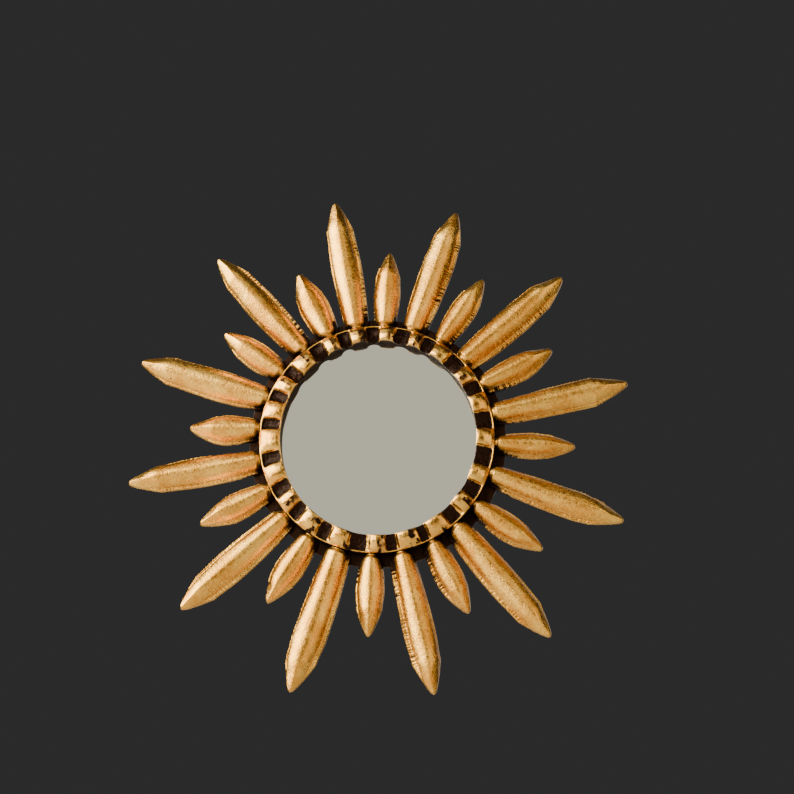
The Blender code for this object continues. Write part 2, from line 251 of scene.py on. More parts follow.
@dataclass(frozen=True)
class GoldLeaf(Finish):
    """Pitted gold leaf on carved wood, with dark brown glossy patina in its hollows; on the ring the patina
    share also paints shade on the pads, and a painted highlight where it is taken off.
    """

    pale: Colour = (0.86, 0.500, 0.105)
    deep: Colour = (0.63, 0.295, 0.046)
    bole: Colour = (0.40, 0.20, 0.065)
    patina: Colour = (0.0060, 0.0022, 0.0013)
    patina_worn: Colour = (0.15, 0.055, 0.038)
    roughness: float = 0.28
    patina_roughness: float = 0.13
    gloss_tint: Colour = (0.85, 0.50, 0.38)
    grit: float = 1.0
    relief: float = 0.0005
    pit_pitch: float = 0.0062
    pit_size: float = 0.00080
    pit_share: float = 0.13
    ragged: float = 0.85
    specular: float = 0.14
    bump_strength: float = 0.8
    broad_waves: float = 55.0  # waves in a metre, like the ones below
    mottle_waves: float = 420.0
    grit_waves: float = 950.0
    fine_waves: float = 2100.0
    patch_waves: float = 140.0
    rag_waves: float = 300.0
    worn_waves: float = 620.0
    pit_waves: float = 1400.0

    def pits(self, tree: Wiring, grain: bpy.types.NodeSocket) -> bpy.types.NodeSocket:
        """Small dark pits, 1 inside a pit and 0 outside.

        Args:
            tree: where the nodes go.
            grain: the place on the piece.

        Returns:
            The pits' share.
        """
        inputs = {"Vector": grain, "Scale": 1.0 / self.pit_pitch}
        cells = tree.add("ShaderNodeTexVoronoi", {"feature": "F1"}, inputs)
        chance, size, _ = tree.parts(cells.outputs["Color"])
        wobble = tree.noise(grain, self.pit_waves, 1.0)
        reach = tree.math("MULTIPLY", size, self.pit_size / self.pit_pitch)
        reach = tree.math("MULTIPLY", reach, tree.math("ADD", wobble, 0.5))
        inside = tree.math("SUBTRACT", reach, cells.outputs["Distance"])
        chosen = tree.math("LESS_THAN", chance, self.pit_share)
        return tree.math("MULTIPLY", tree.ease(inside, -0.012, 0.012), chosen)

    def make(self) -> bpy.types.Material:
        """Build the material.

        Returns:
            The finished material.
        """
        material, tree, shader = self.start()
        grain = tree.add("ShaderNodeAttribute", {"attribute_name": Layer.GRAIN.value}).outputs["Vector"]
        # The patina share, which on the ring also holds painted shade and painted highlights.
        held = tree.add("ShaderNodeAttribute", {"attribute_name": Layer.PATINA.value}).outputs["Fac"]

        broad = tree.noise(grain, self.broad_waves, 3.0)
        mottle = tree.noise(grain, self.mottle_waves, 4.0, 3.0)
        grit = tree.noise(grain, self.grit_waves, 2.0, 13.0)
        fine = tree.noise(grain, self.fine_waves, 3.0, 7.0)
        tone = tree.math("ADD", tree.math("MULTIPLY", broad, 0.5), tree.math("MULTIPLY", mottle, 0.25))
        tone = tree.math("ADD", tone, tree.math("MULTIPLY", grit, 0.25))
        leaf = tree.blend(tree.ease(tone, 0.42, 0.59), self.deep, self.pale)
        speck = tree.math("MULTIPLY", tree.ease(grit, 0.56, 0.70), tree.ease(broad, 0.36, 0.60))
        leaf = tree.blend(tree.math("MULTIPLY", speck, 0.42), leaf, self.bole)

        # Bole glaze along the patina; on the ring's pads it is also painted shade.
        patches = tree.ease(tree.noise(grain, self.patch_waves, 3.0, 5.0), 0.38, 0.60, 0.12, 0.72)
        glaze_and_painted_shade = tree.math("MULTIPLY", tree.ease(held, 0.10, 0.52), patches)
        leaf = tree.blend(glaze_and_painted_shade, leaf, self.bole)

        rag = tree.math("SUBTRACT", tree.noise(grain, self.rag_waves, 5.0, 11.0), 0.5)
        edge = tree.math("ADD", held, tree.math("MULTIPLY", rag, self.ragged))
        rim = tree.ease(edge, 0.36, 0.50, 0.0, 0.85)
        leaf = tree.blend(rim, leaf, tuple(0.45 * part for part in self.bole))
        dark = tree.ease(edge, 0.46, 0.58)
        pits = self.pits(tree, grain)
        covered = tree.math("MAXIMUM", dark, pits)

        worn = tree.ease(tree.noise(grain, self.worn_waves, 4.0, 17.0), 0.62, 0.76)
        brown = tree.blend(worn, self.patina, self.patina_worn)
        tree.feed(shader.inputs["Base Color"], tree.blend(covered, leaf, brown))
        tree.feed(shader.inputs["Metallic"], tree.ease(covered, 0.0, 1.0, 0.96, 0.0))

        satin = tree.ease(mottle, 0.3, 0.7, self.roughness - 0.05, self.roughness + 0.08)
        gloss = tree.ease(worn, 0.0, 1.0, self.patina_roughness, self.patina_roughness + 0.2)
        gloss = tree.math("MAXIMUM", gloss, tree.ease(held, 1.0, 1.2, 0.0, 0.62))
        rough = tree.add("ShaderNodeMix", {"data_type": "FLOAT"}, {0: covered, 2: satin, 3: gloss})
        tree.feed(shader.inputs["Roughness"], rough.outputs[0])

        height = tree.math("ADD", tree.math("MULTIPLY", fine, 0.20), tree.math("MULTIPLY", grit, 0.75))
        height = tree.math("MULTIPLY", height, self.grit)
        height = tree.math("ADD", height, tree.math("MULTIPLY", mottle, 0.5))
        height = tree.math("ADD", height, tree.math("MULTIPLY", rag, tree.math("MULTIPLY", dark, 4.5)))
        height = tree.math("SUBTRACT", height, tree.math("MULTIPLY", pits, 1.2))
        inputs = {"Strength": self.bump_strength, "Distance": self.relief, "Height": height}
        bump = tree.add("ShaderNodeBump", None, inputs)
        tree.feed(shader.inputs["Normal"], bump.outputs[0])
        shader.inputs["Specular IOR Level"].default_value = self.specular
        tree.feed(shader.inputs["Specular Tint"], tree.blend(covered, (1.0, 1.0, 1.0), self.gloss_tint))
        return material


RAY_LEAF = GoldLeaf("ray_gold")
# Burnished smoother than the rays' leaf and pitted more closely
RING_LEAF = GoldLeaf(
    "ring_gold",
    pale=(0.84, 0.50, 0.115),
    roughness=0.21,
    grit=0.35,
    relief=0.0005,
    pit_pitch=0.0044,
    pit_size=0.0010,
    pit_share=0.55,
)


@dataclass(frozen=True)
class SilveredGlass(Finish):
    """Clear mirror glass with a few faint specks."""

    silver: Colour = (0.92, 0.925, 0.90)
    speck: Colour = (0.36, 0.35, 0.32)

    def make(self) -> bpy.types.Material:
        """Build the material.

        Returns:
            The finished material.
        """
        material, tree, shader = self.start()
        place = tree.add("ShaderNodeTexCoord").outputs["Object"]
        cells = tree.add("ShaderNodeTexVoronoi", {"feature": "F1"}, {"Vector": place, "Scale": 60.0})
        chance, size, _ = tree.parts(cells.outputs["Color"])
        reach = tree.math("MULTIPLY", size, 0.035)
        spot = tree.ease(tree.math("SUBTRACT", reach, cells.outputs["Distance"]), -0.01, 0.01)
        spot = tree.math("MULTIPLY", spot, tree.math("LESS_THAN", chance, 0.22))
        cloud = tree.noise(place, 28.0, 3.0)
        silver = tree.blend(tree.ease(cloud, 0.4, 0.7, 0.0, 0.04), self.silver, (0.83, 0.84, 0.82))
        tree.feed(shader.inputs["Base Color"], tree.blend(spot, silver, self.speck))
        tree.feed(shader.inputs["Roughness"], tree.ease(cloud, 0.35, 0.75, 0.012, 0.03))
        shader.inputs["Metallic"].default_value = 1.0
        return material


@dataclass(frozen=True)
class StainedWood(Finish):
    """Dark brown stained wood with a grain and glossy runs of stain."""

    dark: Colour = (0.008, 0.0036, 0.0024)
    light: Colour = (0.030, 0.013, 0.008)
    gloss_tint: Colour = (0.85, 0.50, 0.38)
    specular: float = 0.12
    ring_waves: float = 210.0  # waves in a metre, like the ones below
    fibre_waves: float = 1300.0
    pool_waves: float = 240.0

    def make(self) -> bpy.types.Material:
        """Build the material.

        Returns:
            The finished material.
        """
        material, tree, shader = self.start()
        place = tree.add("ShaderNodeTexCoord").outputs["Object"]
        x, y, z = tree.parts(place)
        drift = tree.math("MULTIPLY", tree.noise(place, 14.0, 2.0), 0.02)
        across = tree.math("ADD", x, drift)
        fibre = tree.join(across, y, tree.math("MULTIPLY", z, 0.06))
        rings = tree.noise(fibre, self.ring_waves, 3.0)
        fibres = tree.noise(fibre, self.fibre_waves, 3.0, 5.0)
        tone = tree.math("ADD", tree.math("MULTIPLY", rings, 0.6), tree.math("MULTIPLY", fibres, 0.4))
        stain = tree.blend(tree.ease(tone, 0.38, 0.64), self.dark, self.light)
        tree.feed(shader.inputs["Base Color"], stain)
        pools = tree.ease(tree.noise(place, self.pool_waves, 3.0, 9.0), 0.45, 0.6)
        tree.feed(shader.inputs["Roughness"], tree.ease(pools, 0.0, 1.0, 0.55, 0.30))
        shader.inputs["Specular IOR Level"].default_value = self.specular
        shader.inputs["Specular Tint"].default_value = opaque(self.gloss_tint)
        height = tree.math("ADD", fibres, tree.math("MULTIPLY", pools, 0.7))
        bump = tree.add("ShaderNodeBump", None, {"Strength": 0.4, "Distance": 0.0003, "Height": height})
        tree.feed(shader.inputs["Normal"], bump.outputs[0])
        return material


@dataclass(frozen=True)
class PalePlaster(Finish):
    """The plain pale floor."""

    tone: Colour = (0.62, 0.60, 0.56)

    def make(self) -> bpy.types.Material:
        """Build the material.

        Returns:
            The finished material.
        """
        material, tree, shader = self.start()
        place = tree.add("ShaderNodeTexCoord").outputs["Object"]
        cloud = tree.noise(place, 2.0, 3.0)
        darker = tuple(0.96 * part for part in self.tone)
        tree.feed(shader.inputs["Base Color"], tree.blend(cloud, self.tone, darker))
        shader.inputs["Roughness"].default_value = 0.9
        return material


class GeometryTree:
    """A Geometry Nodes tree with named inputs that takes a blank and gives the dressed piece."""

    def __init__(self, name: str, inputs: dict[str, tuple[str, object]]) -> None:
        """Make the tree's sockets.

        Args:
            name: the tree's name.
            inputs: each input's socket type and first value, by name.
        """
        self.tree = bpy.data.node_groups.new(name, "GeometryNodeTree")
        face = self.tree.interface
        face.new_socket("Blank", in_out="INPUT", socket_type="NodeSocketGeometry")
        self.ids: dict[str, str] = {}
        for key, (kind, value) in inputs.items():
            socket = face.new_socket(key, in_out="INPUT", socket_type=kind)
            if value is not None:
                socket.default_value = value
            self.ids[key] = socket.identifier
        face.new_socket("Piece", in_out="OUTPUT", socket_type="NodeSocketGeometry")
        self.wiring = Wiring(self.tree)
        self.entry = self.wiring.add("NodeGroupInput").outputs

    def read(self, layer: Layer, kind: str = "FLOAT") -> bpy.types.NodeSocket:
        """The value of one of the blank's attributes."""
        inputs = {"Name": layer.value}
        return self.wiring.add("GeometryNodeInputNamedAttribute", {"data_type": kind}, inputs).outputs[0]

    def store(
        self, piece: bpy.types.NodeSocket, layer: Layer, value: Feed, kind: str = "FLOAT"
    ) -> bpy.types.NodeSocket:
        """Write one attribute on the points.

        Args:
            piece: the geometry.
            layer: the attribute.
            value: what is written.
            kind: its data type.

        Returns:
            The geometry with the attribute.
        """
        settings = {"data_type": kind, "domain": "POINT"}
        inputs = {"Geometry": piece, "Name": layer.value, "Value": value}
        return self.wiring.add("GeometryNodeStoreNamedAttribute", settings, inputs).outputs[0]

    def finish(self, piece: bpy.types.NodeSocket) -> None:
        """End the tree: real mesh, smooth faces, its material."""
        piece = self.wiring.add("GeometryNodeRealizeInstances", None, {0: piece}).outputs[0]
        piece = self.wiring.add("GeometryNodeSetShadeSmooth", None, {"Geometry": piece}).outputs[0]
        inputs = {"Geometry": piece, "Material": self.entry["Finish"]}
        piece = self.wiring.add("GeometryNodeSetMaterial", None, inputs).outputs[0]
        self.wiring.add("NodeGroupOutput", None, {0: piece})

    def apply(self, blank: bpy.types.Object, values: dict[str, object]) -> bpy.types.Object:
        """Run the tree on a blank and keep the result as its plain mesh.

        Args:
            blank: the object that holds the blank's mesh.
            values: the inputs' values, by name.

        Returns:
            The same object with the finished mesh.
        """
        modifier = blank.modifiers.new(self.tree.name, "NODES")
        modifier.node_group = self.tree
        for name, value in values.items():
            modifier[self.ids[name]] = value
        graph = bpy.context.evaluated_depsgraph_get()
        made = bpy.data.meshes.new_from_object(
            blank.evaluated_get(graph), preserve_all_data_layers=True, depsgraph=graph
        )
        blank.modifiers.remove(modifier)
        old = blank.data
        made.name = blank.name
        blank.data = made
        bpy.data.meshes.remove(old)
        return blank


class ToolMarks(GeometryTree):
    """Nicks along a ray's edges and long shallow facets on its body, then its turn on the ring."""

    def __init__(self) -> None:
        """Build the tree."""
        super().__init__(
            "tool_marks",
            {
                "Nick Pitch": ("NodeSocketFloat", 0.0020),
                "Facet Depth": ("NodeSocketFloat", 0.00022),
                "Dent Depth": ("NodeSocketFloat", 0.00025),
                "Direction": ("NodeSocketFloat", 0.0),
                "Seat": ("NodeSocketFloat", SEAT_DEPTH),
                "Seed": ("NodeSocketFloat", 0.0),
                "Finish": ("NodeSocketMaterial", None),
            },
        )
        w, entry = self.wiring, self.entry
        place = w.add("GeometryNodeInputPosition").outputs[0]
        normal = w.add("GeometryNodeInputNormal").outputs[0]
        rim, front = self.read(Layer.RIM), self.read(Layer.FRONT)
        along = self.read(Layer.ALONG)

        row = w.math("ADD", w.math("DIVIDE", along, entry["Nick Pitch"]), w.math("MULTIPLY", rim, 0.35))
        row = w.math("ADD", row, w.math("MULTIPLY", entry["Seed"], 13.7))
        row = w.math("ADD", row, w.math("MULTIPLY", w.math("SIGN", rim), 41.0))
        cells = w.add(
            "ShaderNodeTexVoronoi",
            {"voronoi_dimensions": "1D", "feature": "F1"},
            {"W": row, "Scale": 1.0, "Randomness": 1.0},
        )
        tooth = w.ease(cells.outputs["Distance"], 0.06, 0.42, 1.0, 0.0)
        patchy = w.ease(w.noise(place, 75.0, 2.0, entry["Seed"]), 0.36, 0.56)
        nick = w.math("MULTIPLY", self.read(Layer.NICK), w.math("MULTIPLY", tooth, patchy))
        reach = w.math("MULTIPLY", nick, w.math("ABSOLUTE", rim))
        inward = w.math("MULTIPLY", reach, w.math("MULTIPLY", w.math("SIGN", rim), -1.0))
        chip = w.join(0.0, w.math("MULTIPLY", reach, 0.7), inward)

        x, y, z = w.parts(place)
        streak = w.join(w.math("MULTIPLY", x, 0.09), y, z)
        facet = w.math("SUBTRACT", w.noise(streak, 260.0, 1.0, entry["Seed"]), 0.85)
        dent = w.math("SUBTRACT", w.noise(place, 110.0, 2.0, entry["Seed"]), 0.85)
        relief = w.math("MULTIPLY", facet, entry["Facet Depth"])
        relief = w.math("ADD", relief, w.math("MULTIPLY", dent, entry["Dent Depth"]))
        relief = w.math("MULTIPLY", w.math("MULTIPLY", relief, 2.0), front)
        offset = w.vector("ADD", chip, w.vector("SCALE", normal, relief))

        grain = w.vector("ADD", place, w.join(entry["Seed"], 0.0, 0.0))
        piece = self.store(entry["Blank"], Layer.GRAIN, grain, "FLOAT_VECTOR")
        dirt = w.math("MULTIPLY", w.math("MULTIPLY", tooth, patchy), w.math("ABSOLUTE", rim))
        dirt = w.math("MULTIPLY", dirt, w.ease(self.read(Layer.NICK), 0.0002, 0.0008, 0.0, 0.62))
        stain = w.math("ADD", self.read(Layer.WEAR), dirt)
        piece = self.store(piece, Layer.PATINA, stain)
        piece = w.add("GeometryNodeSetPosition", None, {"Geometry": piece, "Offset": offset}).outputs[0]
        turn = w.join(0.0, w.math("MULTIPLY", entry["Direction"], -math.pi / 180.0), 0.0)
        seat = w.join(0.0, w.math("MULTIPLY", entry["Seat"], -1.0), 0.0)
        inputs = {"Geometry": piece, "Translation": seat, "Rotation": turn}
        self.finish(w.add("GeometryNodeTransform", None, inputs).outputs[0])


class Scoops(GeometryTree):
    """Scoops gouged across the ring at the points of a pattern."""

    def __init__(self) -> None:
        """Build the tree."""
        super().__init__(
            "scoops",
            {
                "Pattern": ("NodeSocketObject", None),
                "Scoop Depth": ("NodeSocketFloat", 0.0044),
                "Pad Crown": ("NodeSocketFloat", 0.0015),
                "Pad Reach": ("NodeSocketFloat", 0.075),
                "Dent Depth": ("NodeSocketFloat", 0.0002),
                "Seed": ("NodeSocketFloat", 0.0),
                "Finish": ("NodeSocketMaterial", None),
            },
        )
        w, entry = self.wiring, self.entry
        place = w.add("GeometryNodeInputPosition").outputs[0]
        normal = w.add("GeometryNodeInputNormal").outputs[0]
        x, _, z = w.parts(place)
        outward = w.vector("NORMALIZE", w.join(x, 0.0, z))

        pattern = w.add("GeometryNodeObjectInfo", None, {"Object": entry["Pattern"]}).outputs["Geometry"]
        inputs = {"Geometry": pattern, "Sample Position": outward}
        nearest = w.add("GeometryNodeSampleNearest", {"domain": "POINT"}, inputs).outputs[0]
        here = w.add("GeometryNodeInputPosition").outputs[0]
        inputs = {"Geometry": pattern, "Value": here, "Index": nearest}
        middle = w.add("GeometryNodeSampleIndex", {"data_type": "FLOAT_VECTOR"}, inputs).outputs[0]
        inputs = {"Geometry": pattern, "Value": self.read(Layer.HALF), "Index": nearest}
        half = w.add("GeometryNodeSampleIndex", {"data_type": "FLOAT"}, inputs).outputs[0]
        inputs = {"Geometry": pattern, "Value": self.read(Layer.THROUGH), "Index": nearest}
        through = w.add("GeometryNodeSampleIndex", {"data_type": "FLOAT"}, inputs).outputs[0]

        _, off, _ = w.parts(w.vector("CROSS_PRODUCT", middle, outward))
        away = w.math("ABSOLUTE", w.math("ARCSINE", off))
        wobble = w.math("SUBTRACT", w.noise(place, 190.0, 2.0, entry["Seed"]), 0.5)
        share = w.math("ADD", w.math("DIVIDE", away, half), w.math("MULTIPLY", wobble, 0.32))
        room = w.math("MAXIMUM", w.math("SUBTRACT", 1.0, w.math("MULTIPLY", share, share)), 0.0)
        scoop = w.math("POWER", room, 0.6)
        cut, opened = self.read(Layer.CUT), self.read(Layer.OPEN)
        cut = w.math("ADD", cut, w.math("MULTIPLY", w.math("SUBTRACT", opened, cut), through))

        past = w.math("DIVIDE", w.math("SUBTRACT", away, half), entry["Pad Reach"])
        sag = w.math("SUBTRACT", 1.0, w.math("MINIMUM", w.math("MAXIMUM", past, 0.0), 1.0))
        sag = w.math("MULTIPLY", w.math("MULTIPLY", sag, sag), entry["Pad Crown"])
        sag = w.math("MULTIPLY", sag, w.math("MINIMUM", w.math("ADD", cut, 0.4), 1.0))
        front = self.read(Layer.FRONT)
        sag = w.math("MULTIPLY", sag, front)
        depth = w.math("MULTIPLY", w.math("MULTIPLY", scoop, cut), entry["Scoop Depth"])
        sunk = w.join(0.0, w.math("ADD", depth, sag), 0.0)

        dent = w.math("SUBTRACT", w.noise(place, 150.0, 2.0, entry["Seed"]), 0.5)
        dent = w.math("MULTIPLY", w.math("MULTIPLY", dent, 2.0), entry["Dent Depth"])
        inward = w.math("MULTIPLY", w.math("MULTIPLY", w.math("ABSOLUTE", dent), -1.0), front)
        offset = w.vector("ADD", sunk, w.vector("SCALE", normal, inward))

        piece = self.store(entry["Blank"], Layer.GRAIN, place, "FLOAT_VECTOR")
        held = w.math("MULTIPLY", room, w.ease(cut, 0.04, 0.55))
        deep = w.ease(held, -0.10, 0.72, 0.0, 0.98)
        # Painted highlight: in the lower part of the ring, the scoop wall that faces the light from the
        # left loses its patina and shows bright gold leaf.
        side = w.ease(w.math("MULTIPLY", off, -1.0), 0.0, 0.04)
        side = w.math("MULTIPLY", side, w.ease(z, -0.062, -0.03, 1.0, 0.0))
        painted_lit_wall = w.math("MULTIPLY", side, w.ease(scoop, 0.55, 0.93, 0.85, 0.0))
        deep = w.math("SUBTRACT", deep, painted_lit_wall)
        edge = w.math("MULTIPLY", w.ease(w.math("ABSOLUTE", past), 0.0, 0.30, 1.0, 0.0), 0.34)
        edge = w.math("MULTIPLY", edge, w.ease(w.noise(place, 120.0, 2.0, 8.0), 0.42, 0.62))
        deep = w.math("MAXIMUM", deep, edge)
        # Painted shade: patchy patina and bole glaze on the right side of each pad, the side turned away
        # from the light.
        lee, _, _ = w.parts(w.vector("SUBTRACT", middle, outward))
        patch = w.ease(w.noise(place, 170.0, 3.0, 9.0), 0.36, 0.62, 0.16, 0.62)
        shade = w.math("MULTIPLY", w.ease(lee, 0.015, 0.070), patch)
        shade = w.math("MULTIPLY", shade, w.ease(lee, 0.12, 0.16, 1.0, 0.0))
        deep = w.math("MAXIMUM", deep, shade)
        # The share stored here holds the real patina in and beside the scoops, and also the painted shade
        # and painted highlights above.
        stain = w.math("MAXIMUM", self.read(Layer.WEAR), w.math("MULTIPLY", deep, front))
        piece = self.store(piece, Layer.PATINA, stain)
        piece = w.add("GeometryNodeSetPosition", None, {"Geometry": piece, "Offset": offset}).outputs[0]
        self.finish(piece)


@dataclass
class Loft:
    """A grid of points, around a section and along a path, that becomes a closed mesh."""

    name: str
    points: np.ndarray  # stations, points of a section, 3
    layers: dict[Layer, np.ndarray]
    ring: bool = False  # whether the last section joins the first

    def blank(self) -> bpy.types.Object:
        """Build the object that a tree works on.

        Returns:
            The object, with its attributes.
        """
        stations, around, _ = self.points.shape
        count = stations * around
        vertices = self.points.reshape(-1, 3)
        index = np.arange(count).reshape(stations, around)
        rows = index if self.ring else index[:-1]
        after = np.roll(index, -1, axis=0) if self.ring else index[1:]
        quads = np.stack(
            [rows, np.roll(rows, -1, axis=1), np.roll(after, -1, axis=1), after], axis=-1
        ).reshape(-1, 4)
        faces = quads.tolist()
        extra: list[int] = []
        if not self.ring:
            for end in (0, stations - 1):
                middle = self.points[end].mean(axis=0, keepdims=True)
                hub = len(vertices)
                vertices = np.concatenate([vertices, middle])
                extra.append(end)
                loop = index[end].tolist()
                faces += [[a, b, hub] for a, b in zip(loop, loop[1:] + loop[:1])]
        mesh = bpy.data.meshes.new(self.name)
        mesh.from_pydata(vertices.tolist(), [], faces)
        for layer, values in self.layers.items():
            flat = values.reshape(-1)
            ends = [float(values[end].mean()) for end in extra]
            data = mesh.attributes.new(layer.value, "FLOAT", "POINT").data
            data.foreach_set("value", np.concatenate([flat, ends]).astype(np.float32))
        work = bmesh.new()
        work.from_mesh(mesh)
        bmesh.ops.recalc_face_normals(work, faces=work.faces)
        work.to_mesh(mesh)
        work.free()
        made = bpy.data.objects.new(self.name, mesh)
        bpy.context.scene.collection.objects.link(made)
        return made


@dataclass(frozen=True)
class RayCut:
    """How one hand-carved ray departs from the others of its kind."""

    turn: float  # degrees off the even spacing, counter-clockwise
    longer: float  # millimetres added to the length
    wider: float  # millimetres added to the width
    left_ledge: float  # millimetres, the low shelf on the counter-clockwise side
    right_ledge: float  # millimetres, the low shelf on the clockwise side
    swell: float  # share of the length at which the ray is widest
    root_shift: float  # millimetres that the root is off the middle, counter-clockwise
    tip_shift: float  # millimetres that the tip is off the middle, counter-clockwise
    left_nicks: float  # millimetres, depth of the nicks on the counter-clockwise edge
    right_nicks: float  # millimetres, depth of the nicks on the clockwise edge
    root_wear: float  # share of patina at the root


@dataclass(frozen=True)
class RayKind:
    """The sizes that the rays of one kind share, and their first ray's direction."""

    label: str
    length: float
    width: float
    tip_length: float
    root_share: float
    first_angle: float
    stations: int
    cuts: tuple[RayCut, ...]


FIRST_LONG_ANGLE = 101.3
RAY_PITCH = 30.0

LONG = RayKind(
    label="long_ray",
    length=0.0985,
    width=0.0230,
    tip_length=0.0225,
    root_share=0.78,
    first_angle=FIRST_LONG_ANGLE,
    stations=190,
    cuts=(
        RayCut(-1.6, 2.4, -0.8, 0.8, 3.0, 0.52, 0.0, 0.0, 0.1, 0.9, 0.55),
        RayCut(0.0, -0.2, 0.2, 0.8, 3.2, 0.58, 1.2, 0.2, 0.2, 1.0, 0.45),
        RayCut(0.6, -2.0, 0.0, 0.8, 3.4, 0.50, 0.8, 0.2, 0.35, 0.9, 0.25),
        RayCut(1.1, 0.6, -1.4, 0.8, 1.8, 0.74, -0.4, 0.4, 0.45, 0.35, 0.45),
        RayCut(-1.0, 0.3, -1.6, 1.0, 2.0, 0.66, 2.2, 0.9, 0.4, 0.45, 0.60),
        RayCut(-1.2, 2.6, 0.0, 0.8, 2.6, 0.50, 0.6, 0.0, 0.15, 0.35, 0.60),
        RayCut(0.7, 2.2, -0.7, 0.9, 3.2, 0.58, -1.2, 0.6, 0.1, 0.9, 0.60),
        RayCut(0.2, 5.4, 1.2, 3.0, 1.0, 0.62, 0.0, -0.6, 0.1, 0.45, 0.30),
        RayCut(-0.2, -0.8, 0.8, 3.0, 2.4, 0.55, -0.6, 0.0, 0.25, 0.35, 0.35),
        RayCut(-1.7, -3.4, -1.2, 2.2, 0.9, 0.46, 0.4, -0.9, 0.15, 0.45, 0.35),
        RayCut(-1.5, -1.2, 0.2, 1.8, 1.2, 0.40, -2.6, 1.2, 0.1, 0.15, 0.50),
        RayCut(-1.9, -0.5, -0.2, 1.0, 3.0, 0.48, -2.2, 1.6, 0.5, 0.7, 0.65),
    ),
)
SHORT = RayKind(
    label="short_ray",
    length=0.0560,
    width=0.0202,
    tip_length=0.0185,
    root_share=0.70,
    first_angle=FIRST_LONG_ANGLE - RAY_PITCH / 2,
    stations=124,
    cuts=(
        RayCut(0.0, 2.6, -0.8, 0.8, 1.2, 0.45, 0.0, -0.2, 0.55, 0.35, 0.45),
        RayCut(0.9, 3.0, -1.2, 0.8, 2.2, 0.55, 0.4, 0.4, 0.15, 0.7, 0.40),
        RayCut(1.0, 1.8, -0.2, 0.8, 2.4, 0.55, 0.2, 0.6, 0.2, 0.6, 0.35),
        RayCut(0.9, 0.6, -1.0, 1.6, 1.2, 0.46, 0.0, 0.2, 0.15, 0.4, 0.50),
        RayCut(-1.6, 0.8, -0.6, 1.4, 0.9, 0.50, 0.4, 1.0, 0.15, 0.6, 0.60),
        RayCut(0.5, 0.0, 0.0, 0.8, 2.2, 0.50, 0.0, 0.4, 0.1, 0.9, 0.60),
        RayCut(1.0, 0.5, 0.0, 1.2, 1.4, 0.45, 0.0, 0.2, 0.1, 0.55, 0.55),
        RayCut(0.0, -1.0, 0.2, 2.2, 0.8, 0.50, 0.0, 0.3, 0.1, 0.6, 0.45),
        RayCut(-0.9, -1.6, 0.3, 2.2, 0.9, 0.55, 0.0, 0.0, 0.1, 0.4, 0.35),
        RayCut(-0.9, -5.2, 2.2, 1.8, 1.4, 0.50, -2.6, -0.4, 0.15, 0.2, 0.40),
        RayCut(-3.0, -2.0, 0.6, 0.9, 1.8, 0.45, 0.0, 0.2, 0.35, 0.15, 0.50),
        RayCut(-1.9, -0.8, 2.2, 0.8, 2.6, 0.50, -0.6, 0.0, 0.25, 0.1, 0.60),
    ),
)


